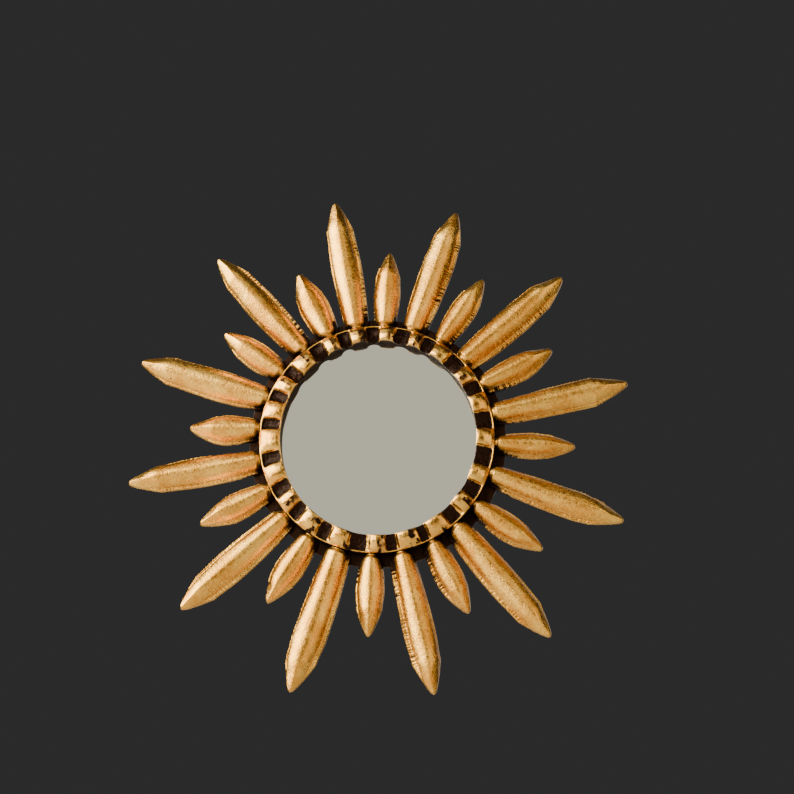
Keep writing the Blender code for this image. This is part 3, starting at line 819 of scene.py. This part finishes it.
@dataclass
class Ray:
    """One carved and gilded ray."""

    kind: RayKind
    number: int
    finish: bpy.types.Material
    marks: ToolMarks
    height: float = 0.0125
    ledge_height: float = 0.0032
    root_height: float = 0.0104
    root_ease: float = 0.0036
    tip_height: float = 0.0042
    tip_bluntness: float = 0.0008
    tip_curve: float = 0.74
    nose: float = 0.0012
    body_roundness: float = 1.75
    ridge_roundness: float = 1.25
    bow: float = 0.0007
    crease_depth: float = 0.0004
    crease_wave: float = 0.009
    ledge_blend: float = 0.6
    wall_inset: float = 0.0003
    root_stain_reach: float = 0.0050
    edge_stain_reach: float = 0.0095
    wall_points: int = 5
    shelf_points: int = 6
    body_points: int = 37
    back_points: int = 6

    @property
    def cut(self) -> RayCut:
        """This ray's own cut."""
        return self.kind.cuts[self.number - 1]

    @property
    def node(self) -> str:
        """The name of the solid that the ray stands for."""
        return f"{self.kind.label}_{self.number:02d}"

    @property
    def length(self) -> float:
        """Root to tip."""
        return self.kind.length + self.cut.longer * MILLIMETRE

    @property
    def direction(self) -> float:
        """Where the ray points, in degrees."""
        return self.kind.first_angle - RAY_PITCH * (self.number - 1) + self.cut.turn

    def stations(self) -> np.ndarray:
        """Distances from the root, closer together at the root and the tip."""
        even = np.linspace(0.0, 1.0, self.kind.stations)
        bent = even - 0.055 * np.sin(2.0 * np.pi * even) * (1.0 - 0.6 * even)
        body = (self.length - self.nose) * bent
        turn = np.linspace(0.0, 0.5 * np.pi, 8)[1:]
        return np.concatenate([body, self.length - self.nose + self.nose * np.sin(turn)])[:, None]

    def half_width(self, along: np.ndarray) -> np.ndarray:
        """Half the ray's width.

        Args:
            along: distances from the root.

        Returns:
            The half widths there.
        """
        cut, kind = self.cut, self.kind
        width = kind.width + cut.wider * MILLIMETRE
        swell_at = cut.swell * self.length
        shoulder = self.length - kind.tip_length
        rise = np.sin(0.5 * np.pi * np.minimum(along / swell_at, 1.0))
        fall = 1.0 - 0.10 * smooth_step((along - swell_at) / max(shoulder - swell_at, MILLIMETRE))
        half = 0.5 * width * (kind.root_share + (1.0 - kind.root_share) * rise) * fall
        half = half * (0.84 + 0.16 * smooth_step(along / self.root_ease))
        left = np.maximum(self.length - along, 0.0) / kind.tip_length
        blunt = self.tip_bluntness
        taper = blunt + (half - blunt) * np.minimum(left, 1.0) ** self.tip_curve
        return np.where(along > shoulder, taper, half) * self.nose_share(along)

    def nose_share(self, along: np.ndarray) -> np.ndarray:
        """How much of the section is left where the tip's end is rounded off."""
        past = np.clip((along - self.length + self.nose) / self.nose, 0.0, 1.0)
        return 0.15 + 0.85 * np.sqrt(1.0 - past**2)

    def shelf_width(self, ledge: float) -> float:
        """How much of a ledge, in millimetres, is left beside the body: little of a narrow one."""
        return ledge**2 / (ledge + self.ledge_blend) * MILLIMETRE

    def heights(self, along: np.ndarray) -> np.ndarray:
        """The ray's greatest height above its flat back, at distances from its root."""
        rise = smooth_step(along / self.root_ease)
        height = self.root_height + (self.height - self.root_height) * rise
        shoulder = self.length - self.kind.tip_length
        passed = np.clip((along - shoulder) / self.kind.tip_length, 0.0, 1.0)
        height = height - (self.height - self.tip_height) * passed**1.7
        height = height - self.bow * (along / self.length) ** 2 * (1.0 - passed)
        return height * self.nose_share(along)

    def loft(self) -> Loft:
        """The ray's blank along +X, flat back down, with what the tool marks need.

        Returns:
            The loft.
        """
        cut, kind = self.cut, self.kind
        along = self.stations()
        half, height = self.half_width(along), self.heights(along)
        past_shoulder = (along - (self.length - kind.tip_length)) / kind.tip_length
        fade = 1.0 - smooth_step(past_shoulder * 1.5)
        narrowest = 0.05 * half
        left = np.maximum(self.shelf_width(cut.left_ledge) * fade, narrowest)
        right = np.maximum(self.shelf_width(cut.right_ledge) * fade, narrowest)
        ledge = np.minimum(self.ledge_height, 0.6 * height)
        share = along / self.length
        middle = cut.root_shift * MILLIMETRE * (1.0 - share) ** 2 + cut.tip_shift * MILLIMETRE * share**4
        low, high = -half + right, half - left
        centre, reach = 0.5 * (low + high), 0.5 * (high - low)
        waver = np.sin(along / self.crease_wave + 2.1 * self.number)
        crease = self.crease_depth * fade * (0.6 + 0.4 * waver)

        wall = np.linspace(0.0, 1.0, self.wall_points)[None, :]
        shelf = np.linspace(0.0, 1.0, self.shelf_points + 1)[None, 1:]
        turn = np.linspace(-0.5 * np.pi, 0.5 * np.pi, self.body_points + 2)[None, 1:-1]
        back = np.linspace(0.0, 1.0, self.back_points + 2)[None, 1:-1]
        inset = np.minimum(self.wall_inset, 0.05 * half)
        shelf_up = ledge * (1.0 + 0.1 * shelf) - crease * shelf**3
        sharper = (self.ridge_roundness - self.body_roundness) * smooth_step(past_shoulder / 0.6)
        power = 2.0 / (self.body_roundness + sharper)
        base = ledge * 1.1 - crease
        body_across = centre + reach * np.sign(np.sin(turn)) * np.abs(np.sin(turn)) ** power
        body_up = base + (height - base) * np.cos(turn) ** power

        across = np.concatenate(
            [
                -half + inset * wall**3,
                -half + inset + (right - inset) * shelf,
                body_across,
                half - inset - (left - inset) * shelf[:, ::-1],
                half - inset * wall[:, ::-1] ** 3,
                half * (1.0 - 2.0 * back),
            ],
            axis=1,
        )
        flat = np.zeros_like(along)
        up = np.concatenate(
            [ledge * wall, shelf_up, body_up, shelf_up[:, ::-1], ledge * wall[:, ::-1], flat + 0.0 * back],
            axis=1,
        )
        none = np.zeros_like(turn)
        flank = 0.75 * np.sign(np.sin(turn)) * np.abs(np.sin(turn)) ** 9
        edge = 0.75 + 0.25 * (1.0 - shelf) ** 1.4
        rim = np.concatenate(
            [-(wall**2), -edge, flank, edge[:, ::-1], (wall**2)[:, ::-1], 0.0 * back],
            axis=1,
        )
        front = np.concatenate(
            [wall, 1.0 + 0.0 * shelf, 1.0 + none, 1.0 + 0.0 * shelf, wall[:, ::-1], 0.0 * back], axis=1
        )
        low_wall, inner = 1.0 - 0.35 * wall, shelf**3
        sides = np.concatenate(
            [low_wall, 0.0 * shelf, none, 0.0 * shelf, low_wall[:, ::-1], 0.0 * back], axis=1
        )
        creases = np.concatenate(
            [0.0 * wall, inner, none, inner[:, ::-1], 0.0 * wall, 0.0 * back], axis=1
        )
        lean = np.abs(np.sin(turn)) ** 5
        steep = np.concatenate(
            [0.0 * wall, 1.0 + 0.0 * shelf, lean, 1.0 + 0.0 * shelf, 0.0 * wall, 0.0 * back], axis=1
        )
        backs = 1.0 - np.minimum(front + sides, 1.0)

        near = np.exp(-along / self.root_stain_reach)
        far = np.exp(-along / self.edge_stain_reach)
        outer = np.abs(across) / np.maximum(half, 1e-6)
        wear = near * cut.root_wear * (0.60 + 2.1 * outer**2)
        wear = np.maximum(wear, sides * np.minimum(1.25 * far + 0.30, 1.0))
        wear = np.maximum(wear, creases * (0.14 + 0.7 * cut.root_wear * far))
        wear = np.maximum(wear, steep * (0.03 + 2.3 * cut.root_wear * far))
        wear = np.maximum(wear, backs)

        worked = smooth_step((share - 0.05) / 0.1) * (1.0 - smooth_step((past_shoulder + 0.2) / 0.5))
        depth = np.where(rim < 0.0, cut.right_nicks, cut.left_nicks) * MILLIMETRE
        nick = np.minimum(depth * worked, 0.22 * half)
        grid = np.broadcast_arrays(RAY_ROOT_RADIUS + along, -up, middle + across)
        shape = grid[0].shape
        layers = {
            Layer.ALONG: np.broadcast_to(along, shape),
            Layer.RIM: np.broadcast_to(rim, shape),
            Layer.NICK: np.broadcast_to(nick, shape),
            Layer.FRONT: np.broadcast_to(front, shape),
            Layer.WEAR: np.broadcast_to(wear, shape),
        }
        return Loft(f"carved_{self.node}", np.stack(grid, axis=-1), layers)

    def build(self) -> bpy.types.Object:
        """Carve, mark and gild the ray.

        Returns:
            The finished piece.
        """
        seed = float(self.number) + (0.5 if self.kind is SHORT else 0.0)
        values = {"Direction": self.direction, "Seed": seed, "Finish": self.finish}
        piece = self.marks.apply(self.loft().blank(), values)
        return ride(piece, self.node)


@dataclass
class Ring:
    """The gouged and gilded ring around the glass."""

    finish: bpy.types.Material
    crown_depth: float
    scoops: Scoops
    bore_radius: float = 0.0700
    opening_shift: float = 0.0011
    opening_oval: float = 0.0010
    rabbet_radius: float = 0.0731
    glass_behind_crown: float = 0.0115
    face_fall: float = 0.0056
    angles: int = 1080
    face_points: int = 44
    wall_points: int = 12
    seed: float = 4.0
    # Angle and width of every scoop, in degrees, and how far it runs out through the inner edge
    gouges: tuple[tuple[float, float, float], ...] = (
        (8.5, 11.0, 0.4),
        (27.0, 8.5, 0.5),
        (44.0, 11.0, 0.7),
        (61.5, 7.5, 0.8),
        (76.0, 9.0, 0.9),
        (92.0, 8.0, 1.0),
        (107.5, 7.5, 1.0),
        (123.0, 8.8, 0.9),
        (141.5, 7.5, 0.4),
        (156.3, 7.5, 0.0),
        (172.0, 7.0, 0.0),
        (191.0, 8.5, 0.0),
        (208.5, 8.5, 0.0),
        (224.0, 7.6, 0.0),
        (242.0, 8.5, 0.0),
        (261.0, 11.5, 0.1),
        (278.0, 7.0, 0.1),
        (295.0, 6.0, 0.2),
        (313.0, 9.5, 0.3),
        (330.0, 9.0, 0.4),
        (348.5, 12.0, 0.4),
    )
    # Share of the face's width from the bore, share of its fall, depth of a closed scoop, of an
    # open one, wear
    face: tuple[tuple[float, float, float, float, float], ...] = (
        (1.00, 1.06, 0.02, 0.02, 0.55),
        (0.985, 0.97, 0.03, 0.03, 0.12),
        (0.955, 0.89, 0.06, 0.06, 0.05),
        (0.925, 0.80, 0.20, 0.20, 0.12),
        (0.90, 0.72, 0.42, 0.42, 0.05),
        (0.84, 0.55, 0.80, 0.80, 0.0),
        (0.68, 0.29, 1.0, 1.0, 0.0),
        (0.40, 0.04, 1.0, 1.15, 0.0),
        (0.17, 0.0, 0.70, 1.45, 0.0),
        (0.05, 0.06, 0.30, 1.65, 0.02),
        (0.015, 0.13, 0.18, 1.62, 0.10),
        (0.0, 0.30, 0.12, 1.60, 0.40),
    )

    def pattern(self) -> bpy.types.Object:
        """Points at the middles of the scoops, on a circle of radius 1 m.

        Returns:
            The object that holds them.
        """
        turns = [math.radians(angle) for angle, _, _ in self.gouges]
        mesh = bpy.data.meshes.new("scoop_pattern")
        mesh.from_pydata([(math.cos(t), 0.0, math.sin(t)) for t in turns], [], [])
        halves = [math.radians(0.5 * width) for _, width, _ in self.gouges]
        mesh.attributes.new(Layer.HALF.value, "FLOAT", "POINT").data.foreach_set("value", halves)
        shares = [share for _, _, share in self.gouges]
        mesh.attributes.new(Layer.THROUGH.value, "FLOAT", "POINT").data.foreach_set("value", shares)
        made = bpy.data.objects.new("scoop_pattern", mesh)
        bpy.context.scene.collection.objects.link(made)
        return made

    def loft(self) -> Loft:
        """The ring's blank: one section swept round, before any scoop.

        Returns:
            The loft.
        """
        rows = np.array(self.face)
        width = RING_OUTER_RADIUS - self.bore_radius
        step = np.hypot(np.diff(rows[:, 0]) * width, np.diff(rows[:, 1]) * self.face_fall)
        at = np.concatenate([[0.0], np.cumsum(step)])
        even = np.linspace(0.0, at[-1], self.face_points)
        table = [np.interp(even, at, column) for column in rows.T]
        for _ in range(2):
            for column in table:
                column[1:-1] = 0.25 * column[:-2] + 0.5 * column[1:-1] + 0.25 * column[2:]
        share, fall, cut, opened, wear = table
        depth = self.crown_depth - fall * self.face_fall
        rabbet = self.crown_depth - self.glass_behind_crown

        outer = np.linspace(SEAT_DEPTH, depth[0], 9)[:-1]
        down = np.linspace(0.0, 1.0, self.wall_points + 1)[1:]
        inner = depth[-1] + (rabbet - depth[-1]) * down
        none, gone = np.zeros(len(outer)), np.zeros(3)
        share = np.concatenate([none + 1.0, share, 0.0 * down, gone])
        depth = np.concatenate([outer, depth, inner, (rabbet, SEAT_DEPTH, SEAT_DEPTH)])
        front = np.concatenate([none, np.ones(self.face_points), 1.0 - down, gone])
        cut = np.concatenate([none, cut, cut[-1] * (1.0 - down), gone])
        opened = np.concatenate([none, opened, opened[-1] * (1.0 - down), gone])
        wear = np.concatenate([none + 0.90, wear, 0.62 + 0.68 * smooth_step(4.0 * down), gone + 1.0])
        gilt = 1.0 - smooth_step(1.8 * down - 0.15)
        wall = np.concatenate([none, np.zeros(self.face_points), gilt, gone])
        hidden = np.concatenate([none, np.zeros(self.face_points + len(down)), gone + 1.0])
        seat = 0.5 * (self.rabbet_radius + RING_OUTER_RADIUS)
        behind = np.concatenate([np.zeros(len(share) - 3), (self.rabbet_radius, self.rabbet_radius, seat)])

        turn = np.linspace(0.0, 2.0 * np.pi, self.angles, endpoint=False)[:, None]
        bore = self.bore_radius + self.opening_shift * np.cos(turn) - self.opening_oval * np.cos(2.0 * turn)
        radius = (bore + share * (RING_OUTER_RADIUS - bore)) * (1.0 - hidden) + behind
        grid = np.broadcast_arrays(radius * np.cos(turn), -depth + 0.0 * turn, radius * np.sin(turn))
        shape = grid[0].shape
        # Painted highlight: the inner lip loses its patina most towards the right, so its bare gold reads
        # as a lit edge there. The top of the inner wall also loses patina at the left and right.
        painted_lip_highlight = 0.5 + 0.5 * np.cos(turn - math.radians(5.0))
        lip = smooth_step((0.10 - share) / 0.1) * (1.0 - hidden) * (depth > self.crown_depth - 0.0035)
        wear = wear - 0.8 * painted_lip_highlight**1.5 * lip - 0.85 * np.abs(np.cos(turn)) ** 0.8 * wall
        layers = {
            Layer.CUT: np.broadcast_to(cut, shape),
            Layer.OPEN: np.broadcast_to(opened, shape),
            Layer.FRONT: np.broadcast_to(front, shape),
            Layer.WEAR: np.broadcast_to(wear, shape),
        }
        return Loft("carved_ring", np.stack(grid, axis=-1), layers, ring=True)

    def build(self) -> bpy.types.Object:
        """Turn the ring, gouge it and gild it.

        Returns:
            The finished piece.
        """
        pattern = self.pattern()
        values = {"Pattern": pattern, "Seed": self.seed, "Finish": self.finish}
        piece = self.scoops.apply(self.loft().blank(), values)
        bpy.data.objects.remove(pattern, do_unlink=True)
        return ride(piece, "frame_ring")


@dataclass
class Backing:
    """The dark disc that carries the glass, the ring and the rays."""

    finish: bpy.types.Material
    flange_radius: float = 0.0910
    plateau_radius: float = 0.0725
    plateau_depth: float = 0.0069
    bevel: float = 0.0008
    seat_height: float = 0.058
    recess_width: float = 0.014
    recess_height: float = 0.011
    recess_floor: float = 0.0021
    sides: int = 360

    def disc(self) -> bpy.types.Object:
        """Turn the disc with its raised middle.

        Returns:
            The disc.
        """
        flange, bevel = self.flange_radius, self.bevel
        profile = [(0.018 * i, 0.0) for i in range(1, 5)]
        profile += [(flange - bevel, 0.0)]
        for turn in (30.0, 60.0, 90.0):
            lean = math.radians(turn)
            profile.append((flange - bevel + bevel * math.sin(lean), bevel * (1.0 - math.cos(lean))))
        for turn in (0.0, 30.0, 60.0, 90.0):
            lean = math.radians(turn)
            out = flange - bevel + bevel * math.cos(lean)
            profile.append((out, FLANGE_THICKNESS - bevel + bevel * math.sin(lean)))
        profile += [(self.plateau_radius, FLANGE_THICKNESS), (self.plateau_radius, self.plateau_depth)]
        profile += [(0.018 * i, self.plateau_depth) for i in range(4, 0, -1)]
        radius, depth = np.array(profile).T
        turn = np.linspace(0.0, 2.0 * np.pi, self.sides, endpoint=False)[None, :]
        grid = np.broadcast_arrays(
            radius[:, None] * np.cos(turn), -depth[:, None] + 0.0 * turn, radius[:, None] * np.sin(turn)
        )
        return Loft("turned_backing", np.stack(grid, axis=-1), {}).blank()

    def build(self) -> bpy.types.Object:
        """Turn the disc and cut its hanging recess.

        Returns:
            The finished piece.
        """
        disc = self.disc()
        work = bmesh.new()
        bmesh.ops.create_cube(work, size=1.0)
        past_back = FLANGE_THICKNESS
        deep = self.plateau_depth - self.recess_floor + past_back
        bmesh.ops.scale(work, vec=(self.recess_width, deep, self.recess_height), verts=work.verts)
        middle = (0.0, past_back - 0.5 * deep, self.seat_height - 0.5 * self.recess_height)
        bmesh.ops.translate(work, vec=middle, verts=work.verts)
        block = bpy.data.meshes.new("recess_block")
        work.to_mesh(block)
        work.free()
        cutter = bpy.data.objects.new("recess_block", block)
        bpy.context.scene.collection.objects.link(cutter)
        cut = disc.modifiers.new("recess", "BOOLEAN")
        cut.operation, cut.solver, cut.object = "DIFFERENCE", "EXACT", cutter
        graph = bpy.context.evaluated_depsgraph_get()
        made = bpy.data.meshes.new_from_object(disc.evaluated_get(graph), depsgraph=graph)
        disc.modifiers.remove(cut)
        disc.data = made
        bpy.data.objects.remove(cutter, do_unlink=True)
        made.materials.clear()
        made.materials.append(self.finish)
        made.shade_smooth()
        made.set_sharp_from_angle(angle=math.radians(28.0))
        return ride(disc, "backing_disc")


@dataclass
class Glass:
    """The silvered glass, which keeps its solid's mesh."""

    finish: bpy.types.Material

    def build(self) -> bpy.types.Object:
        """Silver the glass.

        Returns:
            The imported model's own glass.
        """
        piece = frame["nodes"]["mirror_glass"]
        piece.data.materials.clear()
        piece.data.materials.append(self.finish)
        return piece


def ride(piece: bpy.types.Object, node: str) -> bpy.types.Object:
    """Tie a piece to its body and the solid that it stands for.

    Args:
        piece: the finished piece.
        node: the solid's name.

    Returns:
        The piece.
    """
    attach(piece, BODY)
    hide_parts(node)
    return piece


@dataclass(frozen=True)
class SoftLight:
    """One soft box of the studio."""

    name: str
    place: tuple[float, float, float]
    target: tuple[float, float, float]
    width: float
    height: float
    power: float
    tint: Colour

    def build(self) -> bpy.types.Object:
        """Hang the light and aim it."""
        lamp = bpy.data.lights.new(self.name, "AREA")
        lamp.shape = "RECTANGLE"
        lamp.size, lamp.size_y = self.width, self.height
        lamp.energy, lamp.color = self.power, self.tint
        made = bpy.data.objects.new(self.name, lamp)
        bpy.context.scene.collection.objects.link(made)
        made.location = self.place
        aim = Vector(self.target) - Vector(self.place)
        made.rotation_euler = aim.to_track_quat("-Z", "Y").to_euler()
        made.visible_camera = False
        return made


@dataclass
class Studio:
    """The plain pale floor, the soft light around the mirror and the camera."""

    floor_finish: bpy.types.Material
    floor_height: float = -0.62
    floor_size: float = 8.0
    air: Colour = (0.030, 0.030, 0.031)
    air_strength: float = 1.0
    picture_side: float = 794.0
    focal_pixels: float = 2000.0
    sensor: float = 36.0
    ring_front: float = 0.0205
    ring_pixel: tuple[float, float] = (376.2, 435.4)
    distance: float = 1.402
    azimuth: float = 3.0
    below: float = 16.0
    lights: tuple[SoftLight, ...] = (
        SoftLight(
            "front_wall", (-1.44, -3.0, 0.88), (-1.44, 0.0, 0.88), 3.34, 2.2, 12.9, (1.0, 0.95, 0.74)
        ),
        SoftLight("window", (-1.62, -0.40, 0.50), (0.0, 0.0, 0.0), 2.0, 1.6, 118.0, (1.0, 0.935, 0.76)),
        SoftLight("ceiling", (-0.85, -1.20, 1.62), (0.0, 0.0, 0.0), 2.2, 1.5, 14.0, (1.0, 0.95, 0.84)),
        SoftLight("left_wall", (-1.24, -1.93, 0.76), (0.0, 0.0, 0.0), 1.15, 1.6, 37.0, (1.0, 0.90, 0.64)),
        SoftLight("back_fill", (0.9, 2.0, 0.9), (0.0, 0.0, 0.0), 2.0, 2.0, 7.0, (1.0, 0.97, 0.92)),
        SoftLight("right_wall", (1.5, -1.0, 0.1), (0.0, 0.0, 0.0), 1.4, 1.4, 12.0, (1.0, 0.82, 0.50)),
        SoftLight("right_front", (1.12, -2.05, 1.32), (0.0, 0.0, 0.0), 1.3, 1.4, 9.0, (1.0, 0.85, 0.50)),
        SoftLight("table_glow", (-0.8, -1.0, -1.15), (0.0, 0.0, 0.0), 1.8, 1.1, 2.6, (1.0, 0.80, 0.58)),
    )

    def floor(self) -> bpy.types.Object:
        """Lay the floor."""
        half = 0.5 * self.floor_size
        corners = [(-half, -half), (half, -half), (half, half), (-half, half)]
        mesh = bpy.data.meshes.new("floor")
        mesh.from_pydata([(x, y, self.floor_height) for x, y in corners], [], [(0, 1, 2, 3)])
        mesh.materials.append(self.floor_finish)
        made = bpy.data.objects.new("floor", mesh)
        bpy.context.scene.collection.objects.link(made)
        return made

    def world(self) -> None:
        """Fill the air around with one plain, faint light."""
        world = bpy.data.worlds.new("studio_air")
        world.use_nodes = True
        air = world.node_tree.nodes["Background"]
        air.inputs["Color"].default_value = (*self.air, 1.0)
        air.inputs["Strength"].default_value = self.air_strength
        bpy.context.scene.world = world

    def camera(self) -> bpy.types.Object:
        """Set the camera below and a little right of the mirror's axis.

        Returns:
            The camera.
        """
        lens = bpy.data.cameras.new("camera")
        lens.sensor_width = self.sensor
        lens.lens = self.focal_pixels / self.picture_side * self.sensor
        lens.dof.use_dof = False
        lens.clip_start, lens.clip_end = 0.05, 20.0
        made = bpy.data.objects.new("camera", lens)
        bpy.context.scene.collection.objects.link(made)
        turn, dip = math.radians(self.azimuth), math.radians(self.below)
        centre = Vector((0.0, -self.ring_front, 0.0))
        towards = Vector((math.sin(turn) * math.cos(dip), -math.cos(turn) * math.cos(dip), -math.sin(dip)))
        made.location = centre + towards * self.distance
        middle = 0.5 * self.picture_side
        yaw = math.atan((self.ring_pixel[0] - middle) / self.focal_pixels)
        pitch = math.atan((self.ring_pixel[1] - middle) / self.focal_pixels * math.cos(yaw))
        facing = (-towards).to_track_quat("-Z", "Y").to_matrix()
        facing = facing @ Euler((0.0, yaw, 0.0)).to_matrix() @ Euler((pitch, 0.0, 0.0)).to_matrix()
        made.rotation_euler = facing.to_euler()
        bpy.context.scene.camera = made
        return made

    def build(self) -> None:
        """Lay the floor, fill the air, hang the lights and set the camera."""
        self.floor()
        self.world()
        for light in self.lights:
            light.build()
        self.camera()


def triangles(piece: bpy.types.Object) -> int:
    """How many triangles the piece's mesh has."""
    return sum(len(face.vertices) - 2 for face in piece.data.polygons)


def main() -> None:
    """Build every piece in order, then the studio, and keep the sizes."""
    logging.basicConfig(level=logging.INFO, format="%(name)s: %(message)s")
    crown = -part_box("frame_ring")[0].y
    ray_gold = RAY_LEAF.make()
    ring_gold = RING_LEAF.make()
    marks = ToolMarks()
    pieces = [Ring(ring_gold, crown, Scoops()).build()]
    pieces += [
        Ray(kind, number + 1, ray_gold, marks).build()
        for kind in (LONG, SHORT)
        for number in range(len(kind.cuts))
    ]
    pieces.append(Backing(StainedWood("dark_stain").make()).build())
    pieces.append(Glass(SilveredGlass("silvering").make()).build())
    for piece in pieces:
        log.info("%s: %d triangles", piece.name, triangles(piece))
    log.info("in all %d triangles", sum(triangles(piece) for piece in pieces))
    Studio(PalePlaster("pale_plaster").make()).build()


if __name__ == "__main__":
    main()
